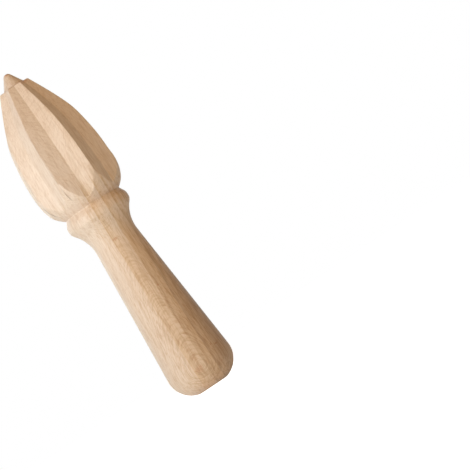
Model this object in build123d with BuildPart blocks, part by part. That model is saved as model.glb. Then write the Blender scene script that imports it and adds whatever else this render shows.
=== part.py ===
from build123d import *
import math
import os

# Hand citrus reamer, turned and fluted from one piece of wood.
# It stands on its butt with the point up. The origin is the centre of the flat butt face,
# and +Z runs along the turning axis. Lengths are in millimetres and angles in degrees.

# Handle, from the flat butt face up to the collar's widest line
handle_length = 90.9
butt_flat_diameter = 13.8
butt_round_length = 12.1
grip_diameter = 31.6
taper_angle = 9.2
neck_hollow_radius = 16.6
collar_diameter = 31.2
collar_round_radius = 3.8

# Groove between the collar and the head
groove_rise = 4.9
groove_diameter = 27.7

# Fluted head, from the groove up to the shoulder
head_length = 62.4
head_diameter = 42.2
belly_length = 14.9
ridge_allowance = 0.35

# Flutes
flute_count = 8
flute_angle = 152.0
arris_radius = 0.25

# Point above the shoulder
point_length = 6.8
point_angle = 62.0
nose_radius = 2.15

# The ridge line: heights as shares of the head's length above the groove, and radii as shares
# of half the head's diameter. Its first points, below the widest place, lie in the run-out,
# where the flutes leave the wood.
ridge_height_shares = (0.0, 0.13, 0.264, 0.392, 0.562, 0.650, 0.739, 0.880, 1.0)
ridge_radius_shares = (0.955, 0.993, 1.0, 0.985, 0.914, 0.853, 0.752, 0.5545, 0.370)
run_out_count = 2

# How far the cutters reach past the wood
cutter_overrun = 2.0

# Heights above the butt face
groove_height = handle_length + groove_rise
belly_height = groove_height + belly_length
shoulder_height = groove_height + head_length
tip_height = shoulder_height + point_length

# Radii
head_radius = head_diameter / 2
blank_radius = head_radius + ridge_allowance
grip_radius = grip_diameter / 2
collar_radius = collar_diameter / 2
butt_flat_radius = butt_flat_diameter / 2

# The outline is drawn in the XZ plane, with the radius first and the height second.
# The handle tapers from the top of the butt's rounding towards the neck.
grip_foot = Vector(grip_radius, butt_round_length)
up_the_taper = Vector(0, 1).rotate(Axis.Z, taper_angle / 2)
out_of_the_taper = up_the_taper.rotate(Axis.Z, -90)

# The neck's hollow touches the taper at one end and the collar's rounding at the other, so
# its centre is one radius off the taper and the sum of both radii from the rounding's centre.
collar_centre = Vector(collar_radius - collar_round_radius, handle_length)
collar_crest = Vector(collar_radius, handle_length)
collar_offset = collar_centre - grip_foot
centres_apart = neck_hollow_radius + collar_round_radius
centres_across = neck_hollow_radius - collar_offset.dot(out_of_the_taper)
centres_along = math.sqrt(centres_apart**2 - centres_across**2)
taper_length = collar_offset.dot(up_the_taper) - centres_along
neck_foot = grip_foot + up_the_taper * taper_length
hollow_centre = neck_foot + out_of_the_taper * neck_hollow_radius
hollow_share = neck_hollow_radius / centres_apart
neck_head = hollow_centre + (collar_centre - hollow_centre) * hollow_share

# The collar's upper flank runs straight from its rounding down into the groove
groove_corner = Vector(groove_diameter / 2, groove_height)
groove_offset = groove_corner - collar_centre
groove_bearing = math.degrees(math.atan2(groove_offset.Y, groove_offset.X))
flank_turn = math.degrees(math.acos(collar_round_radius / groove_offset.length))
flank_bearing = groove_bearing - flank_turn
flank_foot = collar_centre + Vector(collar_round_radius, 0).rotate(Axis.Z, flank_bearing)

# Two neighbouring flute walls meet in a ridge, half a pitch away from each valley. The ratio
# of the valley's radius to the ridge's follows from the number of flutes and their angle.
half_pitch = math.radians(180 / flute_count)
wall_slope = math.radians((180 - flute_angle) / 2)
valley_ratio = math.cos(half_pitch + wall_slope) / math.cos(wall_slope)

# The point is a cone with a round nose, and its base follows from its length and angle
point_slope = math.radians(point_angle / 2)
nose_centre_height = tip_height - nose_radius
cone_height = nose_centre_height + nose_radius / math.sin(point_slope) - shoulder_height
point_base = Vector(cone_height * math.tan(point_slope), shoulder_height)
nose_edge = Vector(
    nose_radius * math.cos(point_slope),
    nose_centre_height + nose_radius * math.sin(point_slope),
)


def ridge_line(ratio=1.0, allowance=0.0):
    """Points of the ridge line from the groove up, its radii times a ratio plus an allowance."""
    return [
        Vector(
            radius_share * head_radius * ratio + allowance,
            groove_height + height_share * head_length,
        )
        for height_share, radius_share in zip(ridge_height_shares, ridge_radius_shares)
    ]


os.makedirs("parts", exist_ok=True)

# One V cutter, centred on +X. Each wall is the valley line swept sideways up the wall's slope.
valley_line = ridge_line(ratio=valley_ratio)
cutter_reach = blank_radius + cutter_overrun
cutter_top = shoulder_height + cutter_overrun
wall_run = blank_radius * math.tan(half_pitch) + cutter_overrun

with BuildPart() as flute_cutter:
    with BuildSketch(Plane.XZ):
        with BuildLine():
            Spline(*valley_line)
            Polyline(
                valley_line[-1],
                (valley_line[-1].X, cutter_top),
                (cutter_reach, cutter_top),
                (cutter_reach, groove_height),
                valley_line[0],
            )
        make_face()
    extrude(amount=wall_run, dir=Vector(math.sin(wall_slope), -math.cos(wall_slope), 0))
    mirror(about=Plane.XZ)

# The reamer: the turned blank, then its flutes, then the arrises rubbed down
blank_line = ridge_line(allowance=ridge_allowance)[run_out_count + 1:]

with BuildPart() as reamer:
    with BuildSketch(Plane.XZ):
        with BuildLine():
            Line((0, 0), (butt_flat_radius, 0))
            TangentArc(grip_foot, (butt_flat_radius, 0), tangent=-up_the_taper)
            Line(grip_foot, neck_foot)
            TangentArc(neck_foot, neck_head, tangent=up_the_taper)
            ThreePointArc(neck_head, collar_crest, flank_foot)
            Line(flank_foot, groove_corner)
            TangentArc((blank_radius, belly_height), groove_corner, tangent=(0, -1))
            Spline((blank_radius, belly_height), *blank_line)
            Line(blank_line[-1], point_base)
            flank = Line(point_base, nose_edge)
            TangentArc(nose_edge, (0, tip_height), tangent=flank % 1)
            Line((0, tip_height), (0, 0))
        make_face()
    revolve(axis=Axis.Z)
    with PolarLocations(0, flute_count, start_angle=-90):
        add(flute_cutter.part, mode=Mode.SUBTRACT)
    wall_edges = reamer.edges().filter_by(GeomType.BSPLINE)
    ridges = wall_edges.group_by(SortBy.LENGTH, tol_digits=1)[-2]
    shoulder_edges = reamer.edges().filter_by(GeomType.LINE).filter_by_position(
        Axis.Z, shoulder_height, shoulder_height
    )
    fillet(ridges + shoulder_edges, radius=arris_radius)

reamer.part.label = "reamer"
export_step(reamer.part, "parts/reamer.step")
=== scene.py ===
import logging
import math
from collections.abc import Callable
from dataclasses import dataclass, field
from enum import Enum
from typing import NamedTuple

import bmesh
import bpy
import numpy as np
from mathutils import Matrix, Vector


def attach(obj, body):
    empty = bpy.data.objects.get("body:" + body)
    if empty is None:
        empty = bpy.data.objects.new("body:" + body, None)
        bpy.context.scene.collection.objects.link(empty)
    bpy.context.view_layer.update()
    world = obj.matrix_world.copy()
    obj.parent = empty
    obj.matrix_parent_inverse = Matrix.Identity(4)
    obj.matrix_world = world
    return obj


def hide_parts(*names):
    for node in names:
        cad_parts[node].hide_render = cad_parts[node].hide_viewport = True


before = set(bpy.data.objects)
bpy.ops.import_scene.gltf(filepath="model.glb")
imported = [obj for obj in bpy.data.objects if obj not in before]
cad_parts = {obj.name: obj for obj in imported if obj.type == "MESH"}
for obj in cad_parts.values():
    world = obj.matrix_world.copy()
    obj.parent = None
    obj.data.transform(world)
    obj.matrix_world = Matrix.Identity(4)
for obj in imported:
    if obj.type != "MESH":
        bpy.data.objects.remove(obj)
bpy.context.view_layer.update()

log = logging.getLogger("reamer")

# The reamer's sizes are in millimetres, and the scene is in metres
MM = 0.001

# How often a search halves its range
HALVINGS = 40

# Kinds of sockets on a node group
FLOAT = "NodeSocketFloat"
VECTOR = "NodeSocketVector"

Colour = tuple[float, float, float]
Cell = tuple[float, float, float]
Socket = bpy.types.NodeSocket


class Zone(Enum):
    """Stretches of the surface, from the butt to the point, which are shaped in different ways."""

    TURNED = "as it leaves the lathe"
    LAND = "between the groove and the flutes' ends"
    FLUTED = "cut by the flutes"
    ARRIS = "rubbed down where the fins end"
    SHOULDER = "cut off square, round the point"


@dataclass(frozen=True)
class Ring:
    """One ring of the surface round the turning axis.

    Radius and height are in millimetres. Share runs from 0 to 1 through the ring's zone.
    """

    zone: Zone
    radius: float
    height: float
    share: float = 0.0


def lathe_rings(points: list[Vector]) -> list[Ring]:
    """Rings through points of the outline, which stay as they leave the lathe."""
    return [Ring(Zone.TURNED, point.x, point.y) for point in points]


class SmoothLine:
    """A natural cubic curve that gives a radius at each height."""

    def __init__(self, heights: list[float], radii: list[float]) -> None:
        """Works out the curve's bends.

        Args:
            heights: Heights of the points that it passes, rising.
            radii: Radii at these heights.
        """
        self.heights = np.array(heights)
        self.radii = np.array(radii)
        count = len(heights)
        steps = np.diff(self.heights)
        slopes = np.diff(self.radii) / steps
        system = np.eye(count)
        bends = np.zeros(count)
        for i in range(1, count - 1):
            system[i, i - 1 : i + 2] = steps[i - 1], 2 * (steps[i - 1] + steps[i]), steps[i]
            bends[i] = 6 * (slopes[i] - slopes[i - 1])
        self.bends = np.linalg.solve(system, bends)

    def at(self, height: float) -> float:
        """The radius at a height.

        Args:
            height: Height above the butt face.

        Returns:
            The curve's radius there.
        """
        last = len(self.heights) - 2
        i = int(np.clip(np.searchsorted(self.heights, height) - 1, 0, last))
        step = self.heights[i + 1] - self.heights[i]
        above = (self.heights[i + 1] - height) / step
        below = (height - self.heights[i]) / step
        bend = (above**3 - above) * self.bends[i] + (below**3 - below) * self.bends[i + 1]
        return float(above * self.radii[i] + below * self.radii[i + 1] + bend * step**2 / 6)


def soft_least(first: float, second: float, softness: float) -> float:
    """The smaller of two radii, with the corner between them rubbed down by a softness."""
    return (first + second) / 2 - math.hypot((first - second) / 2, softness)


def smooth_share(value: float, start: float, end: float) -> float:
    """How far a value is from a start to an end, from 0 to 1, easing in and out."""
    share = min(max((value - start) / (end - start), 0.0), 1.0)
    return share * share * (3 - 2 * share)


def shares_up_to_one(count: int) -> list[float]:
    """Even shares, from after 0 up to 1."""
    return [i / count for i in range(1, count + 1)]


def last_before(low: float, high: float, holds: Callable[[float], bool]) -> float:
    """Finds where a condition stops holding, by halving the range.

    Args:
        low: A value where it holds.
        high: A value where it doesn't.
        holds: The condition.

    Returns:
        The last value at which it holds.
    """
    for _ in range(HALVINGS):
        middle = (low + high) / 2
        if holds(middle):
            low = middle
        else:
            high = middle
    return low


def turned(vector: Vector, degrees: float) -> Vector:
    """A flat vector turned anticlockwise by an angle."""
    return Matrix.Rotation(math.radians(degrees), 2) @ vector


def around(angle: float, radius: float, height: float) -> Vector:
    """The place at an angle round the axis, anticlockwise from -Y seen from above."""
    return Vector((radius * math.sin(angle), -radius * math.cos(angle), height))


def round_stretch(centre: Vector, start: Vector, end: Vector, spacing: float) -> list[Vector]:
    """Points on an arc, from after its start up to its end.

    Args:
        centre: The arc's centre.
        start: The point where it starts.
        end: The point where it ends, less than half a turn on.
        spacing: The most that its points lie apart.

    Returns:
        The points after the start, the end among them.
    """
    spoke = start - centre
    sweep = spoke.angle_signed(end - centre)
    count = max(2, math.ceil(abs(sweep) * spoke.length / spacing))
    return [
        centre + Matrix.Rotation(-sweep * i / count, 2) @ spoke for i in range(1, count + 1)
    ]


def straight_stretch(start: Vector, end: Vector, spacing: float) -> list[Vector]:
    """Points on a straight line, from after its start up to its end, a spacing apart at most."""
    count = max(1, math.ceil((end - start).length / spacing))
    return [start.lerp(end, i / count) for i in range(1, count + 1)]


def rounded(start: Vector, corner: Vector, end: Vector, shares: tuple[float, ...]) -> list[Vector]:
    """Points of a soft curve in place of a corner, at shares of its way from start to end."""
    return [start.lerp(corner, share).lerp(corner.lerp(end, share), share) for share in shares]


def rubbed_corner(before: Vector, corner: Vector, after: Vector, reach: float) -> list[Vector]:
    """Points of a small round in place of a corner of the outline.

    Args:
        before: A point of the line into the corner.
        corner: The sharp corner.
        after: A point of the line out of the corner.
        reach: How far from the corner the round starts and ends.

    Returns:
        Points from the round's start to its end, both among them.
    """
    start = corner + (before - corner).normalized() * reach
    end = corner + (after - corner).normalized() * reach
    return rounded(start, corner, end, (0.0, 0.25, 0.5, 0.75, 1.0))


@dataclass
class TurnedBlank:
    """The outline that the lathe gives the wood, in millimetres, from the butt to the point.

    The collar's crown is a faint band with rubbed arrises. Crease shares place the points of
    the small hollows at the groove's bottom and at the point's foot.
    """

    handle_length: float = 90.9
    butt_flat_diameter: float = 13.8
    butt_round_length: float = 12.1
    grip_diameter: float = 31.6
    taper_angle: float = 9.2
    neck_hollow_radius: float = 16.6
    collar_diameter: float = 31.2
    collar_round_radius: float = 3.8
    groove_rise: float = 4.9
    groove_diameter: float = 27.7
    head_length: float = 62.4
    head_diameter: float = 42.2
    belly_length: float = 14.9
    ridge_allowance: float = 0.35
    point_length: float = 6.8
    point_angle: float = 62.0
    nose_radius: float = 2.15
    crease_radius: float = 0.3
    shoulder_arris: float = 0.38
    band_rise: float = 0.35
    band_height: float = 3.3
    band_crown: float = 0.18
    band_arris: float = 0.2
    ridge_height_shares: tuple[float, ...] = (
        0.0, 0.13, 0.264, 0.392, 0.562, 0.650, 0.739, 0.880, 1.0,
    )
    ridge_radius_shares: tuple[float, ...] = (
        0.955, 0.993, 1.0, 0.985, 0.914, 0.853, 0.752, 0.5545, 0.370,
    )
    groove_crease_shares: tuple[float, ...] = (0.3, 0.5, 0.7, 1.0)
    groove_crease_angle: float = 45.0
    point_crease_shares: tuple[float, ...] = (0.0, 0.35, 0.65, 1.0)
    handle_spacing: float = 1.2
    round_spacing: float = 0.5
    nose_spacing: float = 0.3
    land_rings: int = 14
    fluted_rings: int = 66
    fluted_crowding: float = 1.6
    arris_rings: int = 3
    shoulder_rings: int = 4

    def __post_init__(self) -> None:
        """Works out the heights, the head's ridge line and the belly's arc."""
        self.groove_height = self.handle_length + self.groove_rise
        self.belly_height = self.groove_height + self.belly_length
        self.shoulder_height = self.groove_height + self.head_length
        self.tip_height = self.shoulder_height + self.point_length
        head_radius = self.head_diameter / 2
        self.blank_radius = head_radius + self.ridge_allowance
        self.groove_corner = Vector((self.groove_diameter / 2, self.groove_height))
        self.ridge = SmoothLine(
            [self.groove_height + share * self.head_length for share in self.ridge_height_shares],
            [share * head_radius for share in self.ridge_radius_shares],
        )
        inward = self.blank_radius - self.groove_corner.x
        self.belly_arc_radius = (inward**2 + self.belly_length**2) / (2 * inward)
        self.belly_centre = Vector(
            (self.blank_radius - self.belly_arc_radius, self.belly_height)
        )

    def head_radius_at(self, height: float) -> float:
        """The turned head's radius, before the flutes.

        Args:
            height: Height above the butt face.

        Returns:
            The radius of the belly's arc, or of the ridge line and its allowance above it.
        """
        if height >= self.belly_height:
            return self.ridge.at(height) + self.ridge_allowance
        drop = self.belly_height - height
        return self.belly_centre.x + math.sqrt(self.belly_arc_radius**2 - drop**2)

    def handle_rings(self) -> list[Ring]:
        """Goes up the butt, the handle, the neck and the collar.

        Returns:
            Their rings, up to the groove's crease.
        """
        flat_edge = Vector((self.butt_flat_diameter / 2, 0))
        grip_foot = Vector((self.grip_diameter / 2, self.butt_round_length))
        up_the_taper = turned(Vector((0, 1)), self.taper_angle / 2)
        out_of_the_taper = turned(up_the_taper, -90)
        chord = flat_edge - grip_foot
        butt_round = -chord.length_squared / (2 * chord.dot(out_of_the_taper))
        butt_centre = grip_foot - out_of_the_taper * butt_round

        collar_centre = Vector(
            (self.collar_diameter / 2 - self.collar_round_radius, self.handle_length)
        )
        offset = collar_centre - grip_foot
        apart = self.neck_hollow_radius + self.collar_round_radius
        across = self.neck_hollow_radius - offset.dot(out_of_the_taper)
        taper_length = offset.dot(up_the_taper) - math.sqrt(apart**2 - across**2)
        neck_foot = grip_foot + up_the_taper * taper_length
        hollow_centre = neck_foot + out_of_the_taper * self.neck_hollow_radius
        neck_head = hollow_centre.lerp(collar_centre, self.neck_hollow_radius / apart)

        band_radius = self.collar_diameter / 2 - self.band_crown
        band_middle = self.handle_length + self.band_rise
        band_foot = Vector((band_radius, band_middle - self.band_height / 2))
        band_top = Vector((band_radius, band_middle + self.band_height / 2))
        crown_radius = self.band_height**2 / (8 * self.band_crown) + self.band_crown / 2
        crown_centre = Vector((self.collar_diameter / 2 - crown_radius, band_middle))
        crown = round_stretch(crown_centre, band_foot, band_top, self.round_spacing)
        foot_arris = rubbed_corner(neck_head, band_foot, crown[0], self.band_arris)
        top_arris = rubbed_corner(crown[-2], band_top, self.groove_corner, self.band_arris)
        crease_start = self.groove_corner.lerp(
            band_top, self.crease_radius / (band_top - self.groove_corner).length
        )
        points = [Vector((0, 0))]
        points += straight_stretch(points[-1], flat_edge, self.handle_spacing)
        points += round_stretch(butt_centre, flat_edge, grip_foot, self.round_spacing)
        points += straight_stretch(grip_foot, neck_foot, self.handle_spacing)
        points += round_stretch(hollow_centre, neck_foot, neck_head, self.round_spacing)
        points += straight_stretch(neck_head, foot_arris[0], self.round_spacing)
        points += foot_arris[1:] + crown[:-1] + top_arris
        points += straight_stretch(top_arris[-1], crease_start, self.round_spacing)
        return lathe_rings(points)

    def crease_rings(self) -> list[Ring]:
        """Goes through the small hollow at the bottom of the groove.

        Returns:
            Its rings, after the handle's last one.
        """
        before = self.handle_rings()[-1]
        start = Vector((before.radius, before.height))
        rise = self.crease_radius * math.cos(math.radians(self.groove_crease_angle))
        end_height = self.groove_height + rise
        end = Vector((self.head_radius_at(end_height), end_height))
        return lathe_rings(rounded(start, self.groove_corner, end, self.groove_crease_shares))

    def head_rings(self) -> list[Ring]:
        """Goes up the head.

        Returns:
            Its rings. Their places are only nominal here, because the flutes decide them.
        """
        foot = self.crease_rings()[-1].height
        arris_height = self.shoulder_height - self.shoulder_arris
        land = [math.sin(math.pi / 2 * share) for share in shares_up_to_one(self.land_rings)]
        fluted = [share**self.fluted_crowding for share in shares_up_to_one(self.fluted_rings)]
        arris = shares_up_to_one(self.arris_rings)
        rings = []
        for zone, low, high, shares in (
            (Zone.LAND, foot, self.belly_height, land),
            (Zone.FLUTED, self.belly_height, arris_height, fluted),
            (Zone.ARRIS, arris_height, self.shoulder_height, arris),
        ):
            for share in shares:
                height = low + (high - low) * share
                rings.append(Ring(zone, self.head_radius_at(height), height, share))
        return rings

    def point_rings(self) -> list[Ring]:
        """Goes in over the square shoulder, then up the cone and its round nose.

        Returns:
            Their rings, the tip among them.
        """
        slope = math.radians(self.point_angle / 2)
        nose_height = self.tip_height - self.nose_radius
        cone_height = nose_height + self.nose_radius / math.sin(slope) - self.shoulder_height
        base = Vector((cone_height * math.tan(slope), self.shoulder_height))
        nose_edge = Vector(
            (self.nose_radius * math.cos(slope), nose_height + self.nose_radius * math.sin(slope))
        )
        tip = Vector((0, self.tip_height))
        crease_out = base + Vector((self.crease_radius, 0))
        crease_in = base.lerp(nose_edge, self.crease_radius / (nose_edge - base).length)
        crease = rounded(crease_out, base, crease_in, self.point_crease_shares)
        rings = []
        start_radius = self.ridge.at(self.shoulder_height) - self.shoulder_arris
        for share in shares_up_to_one(self.shoulder_rings):
            radius = start_radius + (crease_out.x - start_radius) * share
            rings.append(Ring(Zone.SHOULDER, radius, self.shoulder_height, share))
        points = crease[1:]
        points += straight_stretch(crease_in, nose_edge, self.round_spacing)
        nose_centre = Vector((0, nose_height))
        points += round_stretch(nose_centre, nose_edge, tip, self.nose_spacing)
        return rings + lathe_rings(points)

    def rings(self) -> list[Ring]:
        """All rings, from the middle of the butt face to the tip."""
        return self.handle_rings() + self.crease_rings() + self.head_rings() + self.point_rings()


@dataclass
class Flutes:
    """The V flutes round the head. Each one is cut by hand feed, so no two are quite alike.

    The first flute faces -Y and the others follow anticlockwise, seen from above. A lift share
    raises a flute's walls by that share of their radius, and a turn is in degrees. Where they
    run out on the belly, the walls swell a little, by one share at each flute's valley and
    another at the ridge after it, and the flutes drift to one side.
    """

    blank: TurnedBlank
    flute_angle: float = 150.5
    lift_shares: tuple[float, ...] = (0.006, 0.002, -0.016, 0.012, 0.0, 0.030, 0.046, 0.035)
    turns: tuple[float, ...] = (-0.8, 0.0, -0.3, 0.2, -0.2, 0.3, -0.1, -0.3)
    valley_swells: tuple[float, ...] = (0.033, 0.014, 0.02, 0.02, 0.02, 0.02, -0.035, 0.02)
    ridge_swells: tuple[float, ...] = (-0.004, 0.01, 0.01, 0.01, 0.01, -0.01, -0.01, 0.032)
    swell_heights: tuple[float, float, float, float] = (99.6, 104.2, 108.6, 112.2)
    swell_edge: float = 0.76
    drift: float = 1.1
    drift_heights: tuple[float, float] = (106.0, 99.5)
    columns_per_wall: int = 14
    valley_softness: float = 0.003
    ridge_softness: float = 0.07
    edge_softness: float = 0.05

    def __post_init__(self) -> None:
        """Works out the walls' slope, the valleys and the ridges between them."""
        self.count = len(self.lift_shares)
        self.pitch = math.tau / self.count
        self.slope = math.radians((180 - self.flute_angle) / 2)
        self.valleys = [
            i * self.pitch + math.radians(turn) for i, turn in enumerate(self.turns)
        ]
        self.ridges = [self.ridge_after(i) for i in range(self.count)]

    def aside(self, flute: int, angle: float) -> float:
        """How far an angle lies from a flute's valley, less than 0 before it."""
        return math.remainder(angle - self.valleys[flute % self.count], math.tau)

    def wall_share(self, flute: int, angle: float) -> float:
        """How far out one flute's wall lies, as a share of the nominal ridge's radius.

        Args:
            flute: The flute's number.
            angle: Angle round the axis, in radians, from the first flute's nominal middle.

        Returns:
            The wall's radius there, as a share.
        """
        aside = math.hypot(self.aside(flute, angle), self.valley_softness)
        nominal = math.cos(self.pitch / 2 + self.slope) / math.cos(aside + self.slope)
        return (1 + self.lift_shares[flute % self.count]) * nominal

    def ridge_after(self, flute: int) -> float:
        """Finds the ridge between a flute and the next one.

        Args:
            flute: The flute's number.

        Returns:
            The angle at which their walls meet.
        """
        valley = self.valleys[flute]
        return last_before(
            valley,
            valley + self.pitch,
            lambda angle: self.wall_share(flute, angle) < self.wall_share(flute + 1, angle),
        )

    def swell(self, flute: int, angle: float, height: float) -> float:
        """How much one flute's wall swells where it runs out.

        Args:
            flute: The flute's number.
            angle: Angle round the axis, from the first flute's nominal middle.
            height: Height above the butt face.

        Returns:
            The swelling, as a share of the wall's radius.
        """
        foot, full, level, top = self.swell_heights
        run_out = smooth_share(height, foot, full) * smooth_share(height, top, level)
        aside = self.aside(flute, angle)
        ridge = flute if aside > 0 else flute - 1
        near_ridge = smooth_share(2 * abs(aside) / self.pitch, self.swell_edge, 1.0)
        at_valley = self.valley_swells[flute % self.count]
        at_ridge = self.ridge_swells[ridge % self.count]
        return run_out * (at_valley + (at_ridge - at_valley) * near_ridge)

    def wall_radius(self, flute: int, angle: float, height: float) -> float:
        """How far out one flute's wall lies at an angle and a height, in millimetres."""
        share = self.wall_share(flute, angle) * (1 + self.swell(flute, angle, height))
        return self.blank.ridge.at(height) * share

    def drift_at(self, height: float) -> float:
        """The angle by which the flutes have drifted aside at a height, in radians."""
        return math.radians(self.drift) * smooth_share(height, *self.drift_heights)

    def radius(self, angle: float, height: float) -> float:
        """The fluted wood's radius.

        Args:
            angle: Angle round the axis, from the first flute's nominal middle.
            height: Height above the butt face.

        Returns:
            The least of the turned blank and the flutes' walls, with soft arrises.
        """
        nearest = round(angle / self.pitch)
        here, *beside = (self.wall_radius(nearest + i, angle, height) for i in (0, -1, 1))
        wall = soft_least(here, min(beside), self.ridge_softness)
        return soft_least(wall, self.blank.head_radius_at(height), self.edge_softness)

    def edge_height(self, angle: float) -> float:
        """The height at which a flute's wall leaves the turned belly.

        Args:
            angle: Angle round the axis, from the first flute's nominal middle.

        Returns:
            The height of the flute's edge at that angle.
        """
        nearest = round(angle / self.pitch)

        def uncut(height: float) -> bool:
            """Whether the turned belly lies inside the flutes' walls at a height."""
            wall = min(self.wall_radius(nearest + i, angle, height) for i in (-1, 0, 1))
            return wall > self.blank.head_radius_at(height)

        top = self.blank.belly_height + self.blank.belly_length
        return last_before(self.blank.groove_height, top, uncut)

    def column_angles(self) -> list[float]:
        """Sets out the mesh's columns.

        Returns:
            Their angles, which crowd at the ridges and the valleys.
        """
        angles = []
        for flute in range(self.count):
            before = self.ridges[flute - 1] - (math.tau if flute == 0 else 0)
            valley = self.valleys[flute]
            for start, end in ((before, valley), (valley, self.ridges[flute])):
                for i in range(self.columns_per_wall):
                    eased = smooth_share(i, 0, self.columns_per_wall)
                    angles.append(start + (end - start) * eased)
        return angles


def placed(name: str, data: bpy.types.ID) -> bpy.types.Object:
    """Puts a new object into the scene.

    Args:
        name: The object's name.
        data: Its mesh, light or camera.

    Returns:
        The object.
    """
    thing = bpy.data.objects.new(name, data)
    bpy.context.scene.collection.objects.link(thing)
    return thing


def placed_mesh(name: str, bm: bmesh.types.BMesh) -> bpy.types.Object:
    """Puts a finished mesh into the scene.

    Args:
        name: The name of the mesh and its object.
        bm: The mesh as it was edited, which is freed.

    Returns:
        The object.
    """
    mesh = bpy.data.meshes.new(name)
    bm.to_mesh(mesh)
    bm.free()
    return placed(name, mesh)


def face_rank(face: bmesh.types.BMFace, count: int) -> int:
    """A face's own number, from its vertices', for an order that is the same each run."""
    low, second, *_, high = sorted(vertex.index for vertex in face.verts)
    return (low * count + second) * count + high


@dataclass
class ReamerWood:
    """The whole reamer as one piece of wood: a turned blank with its flutes cut."""

    blank: TurnedBlank = field(default_factory=TurnedBlank)
    node: str = "reamer"
    name: str = "reamer_wood"
    body: str = "root"
    slot: str = "beech"
    fade_length: float = 14.0
    weld_distance: float = 1e-6
    least_edge: float = 1e-7

    def __post_init__(self) -> None:
        """Sets the flutes out on the blank."""
        self.flutes = Flutes(self.blank)
        self.columns = self.flutes.column_angles()
        self.edges = [self.flutes.edge_height(angle) for angle in self.columns]
        self.crease_height = self.blank.crease_rings()[-1].height
        self.cone_foot = self.blank.point_rings()[self.blank.shoulder_rings - 1].radius

    def even_share(self, ring: Ring) -> float:
        """How evenly a ring's columns are spread.

        Args:
            ring: The ring.

        Returns:
            A share, from 0 on the head to 1 away from it.
        """
        if ring.zone is not Zone.TURNED:
            return 0.0
        if ring.height > self.blank.shoulder_height:
            return smooth_share(ring.height, self.blank.shoulder_height, self.blank.tip_height)
        even_height = self.crease_height - self.fade_length
        return smooth_share(ring.height, self.crease_height, even_height)

    def place(self, ring: Ring, column: int) -> Vector:
        """Where one vertex of the wood belongs.

        Args:
            ring: The vertex's ring.
            column: The number of its column.

        Returns:
            Its place, in millimetres.
        """
        angle = self.columns[column]
        radius, height = ring.radius, ring.height
        arris_height = self.blank.shoulder_height - self.blank.shoulder_arris
        if ring.zone is Zone.LAND:
            edge = self.edges[column]
            height = self.crease_height + (edge - self.crease_height) * ring.share
            radius = self.flutes.radius(angle, height)
        elif ring.zone is Zone.FLUTED:
            edge = self.edges[column]
            height = edge + (arris_height - edge) * ring.share
            radius = self.flutes.radius(angle, height)
        elif ring.zone is Zone.ARRIS:
            turn = math.pi / 2 * ring.share
            height = arris_height + self.blank.shoulder_arris * math.sin(turn)
            rubbed = self.blank.shoulder_arris * (1 - math.cos(turn))
            radius = self.flutes.radius(angle, height) - rubbed
        elif ring.zone is Zone.SHOULDER:
            outer = self.flutes.radius(angle, height) - self.blank.shoulder_arris
            radius = outer + (self.cone_foot - outer) * ring.share
        even = (column - self.flutes.columns_per_wall) * math.tau / len(self.columns)
        angle += self.flutes.drift_at(height)
        angle += (even - angle) * self.even_share(ring)
        return around(angle, radius, height)

    def build(self) -> bpy.types.Object:
        """Spins the outline round the axis, and moves the head's rings onto the flutes.

        Returns:
            The finished piece, in metres, in place of the CAD node.
        """
        rings = self.blank.rings()
        bm = bmesh.new()
        ring_number = bm.verts.layers.int.new("ring")
        outline = []
        for number, ring in enumerate(rings):
            vertex = bm.verts.new((ring.radius, 0.0, ring.height))
            vertex[ring_number] = number
            outline.append(vertex)
        edges = [bm.edges.new(pair) for pair in zip(outline, outline[1:])]
        bmesh.ops.spin(
            bm,
            geom=outline + edges,
            cent=(0, 0, 0),
            axis=(0, 0, 1),
            angle=math.tau,
            steps=len(self.columns),
            use_merge=True,
        )
        pitch = math.tau / len(self.columns)
        for vertex in bm.verts:
            column = round(math.atan2(vertex.co.y, vertex.co.x) / pitch) % len(self.columns)
            vertex.co = self.place(rings[vertex[ring_number]], column)
        bmesh.ops.remove_doubles(bm, verts=bm.verts, dist=self.weld_distance)
        bmesh.ops.dissolve_degenerate(bm, edges=bm.edges, dist=self.least_edge)
        bmesh.ops.recalc_face_normals(bm, faces=bm.faces)
        bmesh.ops.scale(bm, vec=(MM, MM, MM), verts=bm.verts)
        bm.verts.index_update()
        count = len(bm.verts)
        bm.faces.sort(key=lambda face: face_rank(face, count))
        for face in bm.faces:
            face.smooth = True
        piece = placed_mesh(self.name, bm)
        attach(piece, self.body)
        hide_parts(self.node)
        log.info("%s: %d faces", self.name, len(piece.data.polygons))
        return piece


class Change(NamedTuple):
    """A smooth change, from 0 at its start to its most at its end, and level beyond both."""

    start: float
    end: float
    most: float = 1.0


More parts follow.
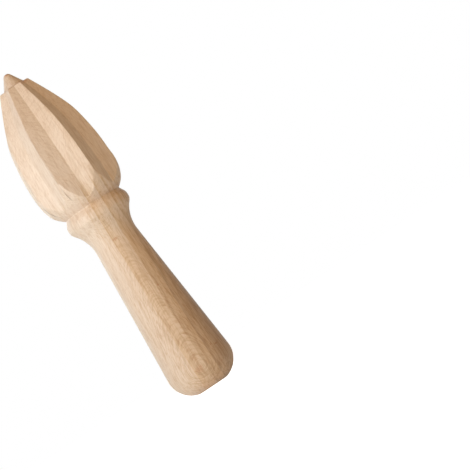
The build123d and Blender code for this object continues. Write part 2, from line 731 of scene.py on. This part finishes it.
class NodeBoard:
    """Adds nodes to one node tree and joins them, so that a pattern reads like a formula."""

    def __init__(self, tree: bpy.types.NodeTree) -> None:
        """Starts on the node tree of a material, a group or a world."""
        self.tree = tree

    def add(self, kind: str, inputs: dict | None = None, **settings: object) -> bpy.types.Node:
        """Adds one node.

        Args:
            kind: The node's type.
            inputs: Values or output sockets, by the name or number of the input.
            settings: Properties of the node itself.

        Returns:
            The new node.
        """
        node = self.tree.nodes.new(kind)
        for name, value in settings.items():
            setattr(node, name, value)
        self.feed(node, inputs or {})
        return node

    def feed(self, node: bpy.types.Node, inputs: dict) -> None:
        """Gives a node its inputs.

        Args:
            node: The node.
            inputs: Values or output sockets, by the name or number of the input.
        """
        for key, value in inputs.items():
            if isinstance(value, Socket):
                self.tree.links.new(value, node.inputs[key])
            else:
                node.inputs[key].default_value = value

    def first(self, kind: str, inputs: dict | None = None, **settings: object) -> Socket:
        """Adds one node as above, for its first output."""
        return self.add(kind, inputs, **settings).outputs[0]

    def group(self, group: bpy.types.NodeTree, *parts: Socket) -> list[Socket]:
        """The outputs of a node group that is given its inputs in order."""
        return list(self.add("ShaderNodeGroup", dict(enumerate(parts)), node_tree=group).outputs)

    def maths(self, operation: str, *terms: object) -> Socket:
        """The result of a Math node on one, two or three terms."""
        return self.first("ShaderNodeMath", dict(enumerate(terms)), operation=operation)

    def vector(self, *parts: Socket) -> Socket:
        """A vector of three parts."""
        return self.first("ShaderNodeCombineXYZ", dict(enumerate(parts)))

    def split(self, vector: Socket) -> list[Socket]:
        """The three parts of a vector."""
        return list(self.add("ShaderNodeSeparateXYZ", {0: vector}).outputs)

    def noise(
        self, place: Socket, cell: Cell, detail: float = 1.0, roughness: float = 0.5
    ) -> Socket:
        """A noise that is stretched along each axis.

        Args:
            place: Where on the noise to look.
            cell: The size of one cell of it.
            detail: How many finer noises are laid over it.
            roughness: How strong they are.

        Returns:
            The noise, from 0 to 1.
        """
        stretched = self.first("ShaderNodeVectorMath", {0: place, 1: cell}, operation="DIVIDE")
        inputs = {"Scale": 1.0, "Detail": detail, "Roughness": roughness}
        return self.first("ShaderNodeTexNoise", {0: stretched, **inputs})

    def change(self, value: Socket, start: float, end: float, most: float = 1.0) -> Socket:
        """A change that follows a value, from 0 at its start to its most at its end."""
        inputs = {"Value": value, 1: start, 2: end, 3: 0.0, 4: most}
        return self.first("ShaderNodeMapRange", inputs, interpolation_type="SMOOTHSTEP")

    def ramp(self, value: Socket, stops: list[tuple[float, Colour]]) -> Socket:
        """A colour ramp.

        Args:
            value: Where on the ramp to look, from 0 to 1.
            stops: Places on the ramp, rising, each with its colour.

        Returns:
            The ramp's colour.
        """
        node = self.add("ShaderNodeValToRGB", {0: value})
        elements = node.color_ramp.elements
        elements.remove(elements[-1])
        for number, (position, colour) in enumerate(stops):
            stop = elements[0] if number == 0 else elements.new(min(position, 1.0))
            stop.position = min(position, 1.0)
            stop.color = (*colour, 1.0)
        return node.outputs[0]

    def tinted(self, colour: Socket, share: Socket, tint: Colour) -> Socket:
        """A colour multiplied by a tint.

        Args:
            colour: The colour.
            share: How far to tint it.
            tint: The tint.

        Returns:
            The tinted colour.
        """
        inputs = {0: share, 6: colour, 7: (*tint, 1.0)}
        node = self.add("ShaderNodeMix", inputs, data_type="RGBA", blend_type="MULTIPLY")
        return node.outputs[2]


def empty_board(owner: bpy.types.Material | bpy.types.World) -> NodeBoard:
    """Clears the nodes of a new material or world.

    Args:
        owner: The material or the world.

    Returns:
        A board for its own nodes.
    """
    owner.use_nodes = True
    owner.node_tree.nodes.clear()
    return NodeBoard(owner.node_tree)


def new_group(name: str, inputs: dict[str, str], outputs: dict[str, str]) -> tuple:
    """Starts a shader node group.

    Args:
        name: The group's name.
        inputs: Socket types by name.
        outputs: Socket types by name.

    Returns:
        The group, its board, its input node and its output node.
    """
    group = bpy.data.node_groups.new(name, "ShaderNodeTree")
    for side, sockets in (("INPUT", inputs), ("OUTPUT", outputs)):
        for socket, kind in sockets.items():
            group.interface.new_socket(socket, in_out=side, socket_type=kind)
    board = NodeBoard(group)
    return group, board, board.add("NodeGroupInput"), board.add("NodeGroupOutput")


@dataclass(frozen=True)
class Log:
    """Where the reamer lay in the tree, in millimetres.

    The first axis runs across the growth rings, to the right as the photograph shows it, the
    second runs through the rays, away from the camera, and the third is the turning axis.
    """

    view_turn: float = 3.3
    pith_across: float = 85.0
    pith_depth: float = -14.0
    lean: float = 0.0304
    lean_height: float = 98.0
    ray_lean: float = 0.07
    waviness: float = 0.5
    wave_cell: Cell = (40.0, 40.0, 28.0)

    def group(self) -> bpy.types.NodeTree:
        """Works out where a point of the surface lay in the log.

        Returns:
            A group that turns Object coordinates into places in the log, in millimetres.
        """
        group, board, _, end = new_group(
            "place_in_log", {}, {"Place": VECTOR, "Across": FLOAT, "Ray": FLOAT, "Along": FLOAT}
        )
        place = board.first(
            "ShaderNodeMapping",
            {
                "Vector": board.add("ShaderNodeTexCoord").outputs["Object"],
                "Rotation": (0.0, 0.0, math.radians(self.view_turn)),
                "Scale": (1 / MM, 1 / MM, 1 / MM),
            },
        )
        right, back, along = board.split(place)
        sway = board.noise(place, self.wave_cell, detail=3.0, roughness=0.35)
        sway = board.maths("MULTIPLY_ADD", sway, 2 * self.waviness, -self.waviness)
        tilt = board.maths("MULTIPLY_ADD", along, self.lean, -self.lean * self.lean_height)
        to_pith = board.maths("SUBTRACT", board.maths("ADD", tilt, self.pith_across), right)
        to_pith = board.maths("ADD", to_pith, sway)
        depth = board.maths("SUBTRACT", back, self.pith_depth)
        squares = [board.maths("POWER", side, 2.0) for side in (to_pith, depth)]
        distance = board.maths("SQRT", board.maths("ADD", *squares))
        ray = board.maths("MULTIPLY", board.maths("ARCTAN2", depth, to_pith), self.pith_across)
        across = board.maths("SUBTRACT", self.pith_across, distance)
        ray = board.maths("MULTIPLY_ADD", along, self.ray_lean, ray)
        board.feed(end, {"Place": place, "Across": across, "Ray": ray, "Along": along})
        return group


@dataclass(frozen=True)
class GrowthRings:
    """Growth rings from left to right: widths in millimetres and the tones at both sides.

    A tone is 1 in the palest wood and 0 in the darkest, and changes evenly through each ring,
    after a short step at its left side. Late wood is the dark line there: each ring has its
    depth, which fades fast towards the ring's right side.
    """

    start: float = -22.0
    widths: tuple[float, ...] = (
        3.6, 3.2, 3.0, 2.9, 3.1, 1.9, 1.6, 1.6, 5.8, 4.2, 2.1, 2.0, 2.4, 2.6, 4.0,
    )
    late_tones: tuple[float, ...] = (
        0.80, 0.60, 0.70, 0.90, 0.88, 0.87, 0.72, 0.78, 0.54, 0.30, 0.05, 0.18, 0.02, 0.05, 0.12,
    )
    early_tones: tuple[float, ...] = (
        0.86, 0.82, 0.96, 0.96, 0.90, 0.78, 0.80, 0.74, 0.66, 0.46, 0.32, 0.16, 0.06, 0.22, 0.30,
    )
    late_depths: tuple[float, ...] = (
        0.2, 0.3, 0.2, 0.3, 0.2, 0.1, 0.4, 0.3, 0.56, 0.48, 0.64, 0.40, 0.54, 0.40, 0.40,
    )
    late_fading: float = 1.5
    step: float = 0.25

    def group(self) -> bpy.types.NodeTree:
        """Sets the rings out side by side.

        Returns:
            A group that gives their tone, and how deep their late wood is, across them.
        """
        group, board, start, end = new_group(
            "growth_rings", {"Across": FLOAT}, {"Tone": FLOAT, "Late": FLOAT}
        )
        span = sum(self.widths)
        from_start = board.maths("SUBTRACT", start.outputs[0], self.start)
        share = board.maths("DIVIDE", from_start, span)
        tones, depths = [], []
        edge = 0.0
        for width, late, early, depth in zip(
            self.widths, self.late_tones, self.early_tones, self.late_depths
        ):
            begins, ends = (edge + self.step) / span, (edge + width) / span
            tones += [(begins, (late,) * 3), (ends, (early,) * 3)]
            depths += [(begins, (depth,) * 3), (ends, (0.0,) * 3)]
            edge += width
        fading = board.maths("POWER", board.ramp(share, depths), self.late_fading)
        board.feed(end, {"Tone": board.ramp(share, tones), "Late": fading})
        return group


@dataclass(frozen=True)
class FineFigure:
    """One kind of fine line or fleck in the wood, from a noise.

    A cell of the noise is in millimetres: across the rings, through the rays and along the
    grain. Shown says between which values of the noise the lines come out.
    """

    cell: Cell
    shown: Change
    tint: Colour
    detail: float = 1.0
    roughness: float = 0.5

    def mask(self, board: NodeBoard, grain: Socket) -> Socket:
        """Where the lines are, from 0 to 1."""
        noise = board.noise(grain, self.cell, self.detail, self.roughness)
        return board.change(noise, *self.shown)


@dataclass(frozen=True)
class RayFigure:
    """The wood's rays: thin sheets that run outwards from the pith and along the grain."""

    layers: FineFigure = FineFigure(
        cell=(6.0, 0.16, 9.0), shown=Change(0.42, 0.68), tint=(0.86, 0.81, 0.74)
    )
    flecks: FineFigure = FineFigure(
        cell=(3.2, 0.30, 2.2), shown=Change(0.54, 0.70), tint=(0.91, 0.84, 0.78)
    )

    def group(self) -> bpy.types.NodeTree:
        """Lays the sheets through the wood.

        Returns:
            A group that gives the long sheets and the short flecks, from 0 to 1.
        """
        group, board, start, end = new_group(
            "ray_figure",
            {"Across": FLOAT, "Ray": FLOAT, "Along": FLOAT},
            {"Layers": FLOAT, "Flecks": FLOAT},
        )
        grain = board.vector(*start.outputs[:3])
        layers, flecks = (figure.mask(board, grain) for figure in (self.layers, self.flecks))
        board.feed(end, {"Layers": layers, "Flecks": flecks})
        return group


@dataclass(frozen=True)
class Mark:
    """A small dark mark on the wood, on the side that faces the camera.

    Its place is in millimetres, to the right of the middle and above the butt face. Its edge
    is soft, between two squares of its half size.
    """

    right: float
    height: float
    width: float
    length: float
    strength: float
    edge: tuple[float, float] = (1.6, 0.2)

    def mask(self, board: NodeBoard, right: Socket, height: Socket) -> Socket:
        """How much of the mark there is at a place.

        Args:
            board: The material's nodes.
            right: How far right the place is.
            height: How high it is.

        Returns:
            The share, from 0 to the mark's strength.
        """
        aside = board.maths("DIVIDE", board.maths("SUBTRACT", right, self.right), self.width / 2)
        above = board.maths("DIVIDE", board.maths("SUBTRACT", height, self.height), self.length / 2)
        reach = board.maths("ADD", *(board.maths("POWER", way, 2.0) for way in (aside, above)))
        return board.change(reach, *self.edge, self.strength)


@dataclass(frozen=True)
class Beech:
    """Bare, fine-sanded beech, with its rings, rays, fibres, pores, marks and end grain.

    Heights and cells are in millimetres. From the lower handle upwards the wood grows paler,
    partly in its own tone and partly as painted light that is brighter towards the head. Its late
    wood shows as dark lines up to the head's foot. Its rays are clearer towards the butt, and its
    fibres fade in pale wood.
    """

    name: str = "beech_sanded"
    brown: Colour = (0.530, 0.362, 0.230)
    tan: Colour = (0.688, 0.484, 0.302)
    pale: Colour = (0.772, 0.618, 0.478)
    butt_tint: Colour = (0.940, 0.925, 0.905)
    butt_tint_heights: Change = Change(130.0, 20.0)
    log: Log = field(default_factory=Log)
    rings: GrowthRings = field(default_factory=GrowthRings)
    rays: RayFigure = field(default_factory=RayFigure)
    ray_strength: float = 0.45
    ray_heights: tuple[Change, ...] = (Change(112.0, 40.0, 0.2), Change(70.0, 10.0, 0.35))
    streak_cell: Cell = (1.1, 2.5, 60.0)
    streak_depth: float = 0.18
    fibres: FineFigure = FineFigure(
        cell=(0.8, 1.6, 40.0), shown=Change(0.44, 0.66), tint=(0.86, 0.80, 0.73),
        detail=1.5, roughness=0.6,
    )
    fibres_gone: float = 1.5
    pores: FineFigure = FineFigure(
        cell=(0.36, 0.36, 3.6), shown=Change(0.50, 0.72), tint=(0.90, 0.85, 0.80),
        detail=1.5, roughness=0.6,
    )
    end_grain_tint: Colour = (0.98, 0.94, 0.94)
    end_grain_tilts: Change = Change(0.5, 0.95)
    mark_tint: Colour = (0.80, 0.55, 0.42)
    mark_depths: Change = Change(2.0, 0.0)
    marks: tuple[Mark, ...] = (
        Mark(right=-0.2, height=77.2, width=2.6, length=1.3, strength=0.5),
        Mark(right=4.3, height=50.1, width=1.1, length=1.0, strength=0.6),
        Mark(right=-1.2, height=9.2, width=3.6, length=3.0, strength=0.3),
        Mark(right=9.0, height=15.8, width=1.0, length=0.8, strength=0.5),
        Mark(right=11.1, height=14.9, width=1.4, length=0.8, strength=0.6),
        Mark(right=9.1, height=7.3, width=0.8, length=0.8, strength=0.5),
        # A dark reddish patch on the fins' tops, right of the point's foot
        Mark(right=5.0, height=157.6, width=3.4, length=2.2, strength=0.45),
        Mark(right=0.1, height=165.0, width=2.4, length=2.0, strength=0.7),
    )
    # How much paler the wood grows towards the head: partly its own tone, partly painted light
    paling_and_painted_light: float = 0.77
    paling_and_painted_light_heights: Change = Change(40.0, 112.0)
    late_wood_heights: Change = Change(108.0, 100.0, -1.0)
    tool_line_cell: Cell = (60.0, 60.0, 0.7)
    tool_line_relief: float = 0.5
    pore_relief: float = -0.5
    ray_relief: float = -0.3
    relief_height: float = 0.05
    relief_strength: float = 0.3
    roughness: float = 0.55
    gloss: float = 0.4

    def tone(self, board: NodeBoard, grain: Socket) -> Socket:
        """The wood's tone from rings and streaks, paler to the head partly as painted light.

        Args:
            board: The material's nodes.
            grain: The place in the log: across the rings, through the rays and along.

        Returns:
            The tone, from 0 in the darkest wood to 1 in the palest.
        """
        across, _, along = board.split(grain)
        rings_tone, late_wood = board.group(self.rings.group(), across)
        streaks = board.noise(grain, self.streak_cell, detail=3.0, roughness=0.6)
        streaks = board.maths("MULTIPLY_ADD", streaks, 2 * self.streak_depth, -self.streak_depth)
        tone = board.maths("ADD", rings_tone, streaks)
        missing = board.maths("SUBTRACT", 1.0, tone)
        below = board.change(along, *self.late_wood_heights)
        late = board.maths("MULTIPLY", late_wood, below)
        # Paler towards the head: partly the wood's own tone, partly painted light standing for
        # light that is stronger near the head
        paled_with_painted_light = board.maths("MULTIPLY_ADD", missing, self.paling_and_painted_light, late)
        return board.maths("MULTIPLY_ADD", board.change(along, *self.paling_and_painted_light_heights), paled_with_painted_light, tone)

    def marked(self, board: NodeBoard, colour: Socket, place: Socket) -> Socket:
        """Adds the small marks and the end grain to the wood's colour.

        Args:
            board: The material's nodes.
            colour: The wood's colour.
            place: The place on the reamer, in millimetres.

        Returns:
            The finished colour.
        """
        right, back, height = board.split(place)
        in_front = board.change(back, *self.mark_depths)
        for mark in self.marks:
            mask = board.maths("MULTIPLY", mark.mask(board, right, height), in_front)
            colour = board.tinted(colour, mask, self.mark_tint)
        normal = board.add("ShaderNodeTexCoord").outputs["Normal"]
        facing_up = board.maths("ABSOLUTE", board.split(normal)[2])
        end_grain = board.change(facing_up, *self.end_grain_tilts)
        return board.tinted(colour, end_grain, self.end_grain_tint)

    def material(self) -> bpy.types.Material:
        """Builds the material.

        Returns:
            The beech material, all of it in Object coordinates.
        """
        material = bpy.data.materials.new(self.name)
        board = empty_board(material)
        place, across, ray, along = board.group(self.log.group())
        grain = board.vector(across, ray, along)
        tone = self.tone(board, grain)
        colour = board.ramp(tone, [(0.0, self.brown), (0.5, self.tan), (1.0, self.pale)])
        near_butt = board.change(along, *self.butt_tint_heights)
        colour = board.tinted(colour, near_butt, self.butt_tint)

        clearer = self.ray_strength
        for heights in self.ray_heights:
            clearer = board.maths("ADD", board.change(along, *heights), clearer)
        rays = board.group(self.rays.group(), across, ray, along)
        layers, flecks = (board.maths("MULTIPLY", part, clearer) for part in rays)
        colour = board.tinted(colour, layers, self.rays.layers.tint)
        colour = board.tinted(colour, flecks, self.rays.flecks.tint)
        darker = board.maths("SUBTRACT", self.fibres_gone, tone)
        fibres = board.maths("MULTIPLY", self.fibres.mask(board, grain), darker)
        colour = board.tinted(colour, fibres, self.fibres.tint)
        pores = self.pores.mask(board, grain)
        colour = board.tinted(colour, pores, self.pores.tint)
        colour = self.marked(board, colour, place)

        relief = board.maths("MULTIPLY", layers, self.ray_relief)
        relief = board.maths("MULTIPLY_ADD", pores, self.pore_relief, relief)
        tool_lines = board.noise(place, self.tool_line_cell)
        relief = board.maths("MULTIPLY_ADD", tool_lines, self.tool_line_relief, relief)
        bump = board.first(
            "ShaderNodeBump",
            {
                "Strength": self.relief_strength,
                "Distance": self.relief_height * MM,
                "Height": relief,
            },
        )
        shader = board.first(
            "ShaderNodeBsdfPrincipled",
            {
                "Base Color": colour,
                "Roughness": self.roughness,
                "Normal": bump,
                "Specular IOR Level": self.gloss,
            },
        )
        board.add("ShaderNodeOutputMaterial", {0: shader})
        return material


@dataclass(frozen=True)
class SoftLight:
    """One softbox. Its place is given round the reamer, in metres and degrees.

    Azimuth 0 is in front of it, on the camera's side, and 90 is on its right.
    """

    name: str
    watts: float
    colour: Colour
    azimuth: float
    elevation: float = 5.0
    distance: float = 0.75
    size: float = 0.5
    aim_height: float = 0.09

    def build(self) -> None:
        """Hangs the softbox, turned to the reamer and unseen by the camera."""
        light = bpy.data.lights.new(self.name, "AREA")
        light.shape = "DISK"
        light.size = self.size
        light.energy = self.watts
        light.color = self.colour
        lamp = placed(self.name, light)
        rise = math.radians(self.elevation)
        away = around(math.radians(self.azimuth), math.cos(rise), math.sin(rise))
        lamp.location = Vector((0, 0, self.aim_height)) + away * self.distance
        lamp.rotation_euler = away.to_track_quat("Z", "Y").to_euler()
        lamp.visible_camera = False


@dataclass(frozen=True)
class Studio:
    """A white floor and surroundings, and the softboxes."""

    floor_radius: float = 6.0
    floor_colour: tuple[float, ...] = (0.9, 0.9, 0.9, 1.0)
    floor_glow: float = 1.0
    floor_light: float = 0.32
    floor_light_colour: tuple[float, ...] = (0.74, 0.92, 1.0, 1.0)
    surround_light: float = 0.133
    surround_colour: tuple[float, ...] = (1.0, 0.46, 0.17, 1.0)
    surround_gloss: float = 0.46
    lights: tuple[SoftLight, ...] = (
        SoftLight("key_softbox", 1.13, (0.76, 0.89, 1.0), -50, 5, 0.4, 0.3, aim_height=0.12),
        SoftLight("front_softbox", 0.98, (1.0, 0.81, 0.60), -14),
        SoftLight("side_softbox", 0.80, (0.72, 0.80, 1.0), -70),
        SoftLight("back_softbox", 1.84, (0.75, 0.90, 1.0), -150, 15),
        SoftLight("top_softbox", 0.38, (1.0, 0.73, 0.46), 0, 45, 0.4, 0.3, aim_height=0.14),
        SoftLight("fill_softbox", 0.13, (1.0, 0.73, 0.23), 80, 30, 0.4, 0.3, aim_height=0.14),
        SoftLight("rim_softbox", 0.45, (0.55, 0.80, 1.0), 150, 10),
    )

    def build_floor(self) -> None:
        """Lays the floor under the butt."""
        bm = bmesh.new()
        bmesh.ops.create_circle(bm, cap_ends=True, segments=96, radius=self.floor_radius)
        floor = placed_mesh("floor", bm)
        material = bpy.data.materials.new("white_floor")
        board = empty_board(material)
        to_camera = board.add("ShaderNodeLightPath").outputs["Is Camera Ray"]
        matt = board.first("ShaderNodeBsdfDiffuse", {0: self.floor_colour})
        seen = board.first("ShaderNodeEmission", {1: self.floor_glow})
        lit = board.first("ShaderNodeEmission", {0: self.floor_light_colour, 1: self.floor_light})
        glow = board.first("ShaderNodeMixShader", {0: to_camera, 1: lit, 2: seen})
        both = board.first("ShaderNodeAddShader", {0: matt, 1: glow})
        board.add("ShaderNodeOutputMaterial", {0: both})
        floor.data.materials.append(material)

    def build_surround(self) -> None:
        """Makes the surroundings white to look at, and dim and warm as a light."""
        world = bpy.data.worlds.new("surround")
        board = empty_board(world)
        rays = board.add("ShaderNodeLightPath").outputs
        white = (1.0, 1.0, 1.0, 1.0)
        glow = board.first("ShaderNodeBackground", {0: white, 1: 1.0})
        for ray, colour, strength in (
            ("Is Glossy Ray", white, self.surround_gloss),
            ("Is Diffuse Ray", self.surround_colour, self.surround_light),
        ):
            other = board.first("ShaderNodeBackground", {0: colour, 1: strength})
            glow = board.first("ShaderNodeMixShader", {0: rays[ray], 1: glow, 2: other})
        board.add("ShaderNodeOutputWorld", {0: glow})
        bpy.context.scene.world = world

    def build(self) -> None:
        """Builds the floor, the surroundings and the lights, with plain colours on screen."""
        self.build_floor()
        self.build_surround()
        for light in self.lights:
            light.build()
        bpy.context.scene.view_settings.view_transform = "Standard"


@dataclass(frozen=True)
class PhotographView:
    """The camera, where the photograph was taken from.

    The lens and the sensor are in millimetres, and other lengths in metres.
    """

    name: str = "photograph_view"
    azimuth: float = -3.3
    distance: float = 1.25
    height: float = 0.016
    aim: tuple[float, ...] = (0.04492, 0.0, 0.04978)
    roll: float = -33.854
    lens: float = 217.17
    sensor: float = 36.0
    nearest: float = 0.05
    farthest: float = 20.0

    def build(self) -> None:
        """Sets the camera up and makes it the scene's."""
        data = bpy.data.cameras.new(self.name)
        data.lens = self.lens
        data.sensor_width = self.sensor
        data.clip_start = self.nearest
        data.clip_end = self.farthest
        camera = placed(self.name, data)
        camera.location = around(math.radians(self.azimuth), self.distance, self.height)
        look = Vector(self.aim) - camera.location
        upright = look.to_track_quat("-Z", "Y").to_matrix()
        rolled = upright @ Matrix.Rotation(math.radians(self.roll), 3, "Z")
        camera.rotation_euler = rolled.to_euler()
        bpy.context.scene.camera = camera


def main() -> None:
    """Builds the reamer, its finish, the studio and the camera."""
    logging.basicConfig(level=logging.INFO, format="%(name)s: %(message)s")
    wood = ReamerWood()
    piece = wood.build()
    piece.data.materials.append(Beech().material())
    log.info("%s: finished in bare beech", piece.name)
    Studio().build()
    PhotographView().build()


if __name__ == "__main__":
    main()
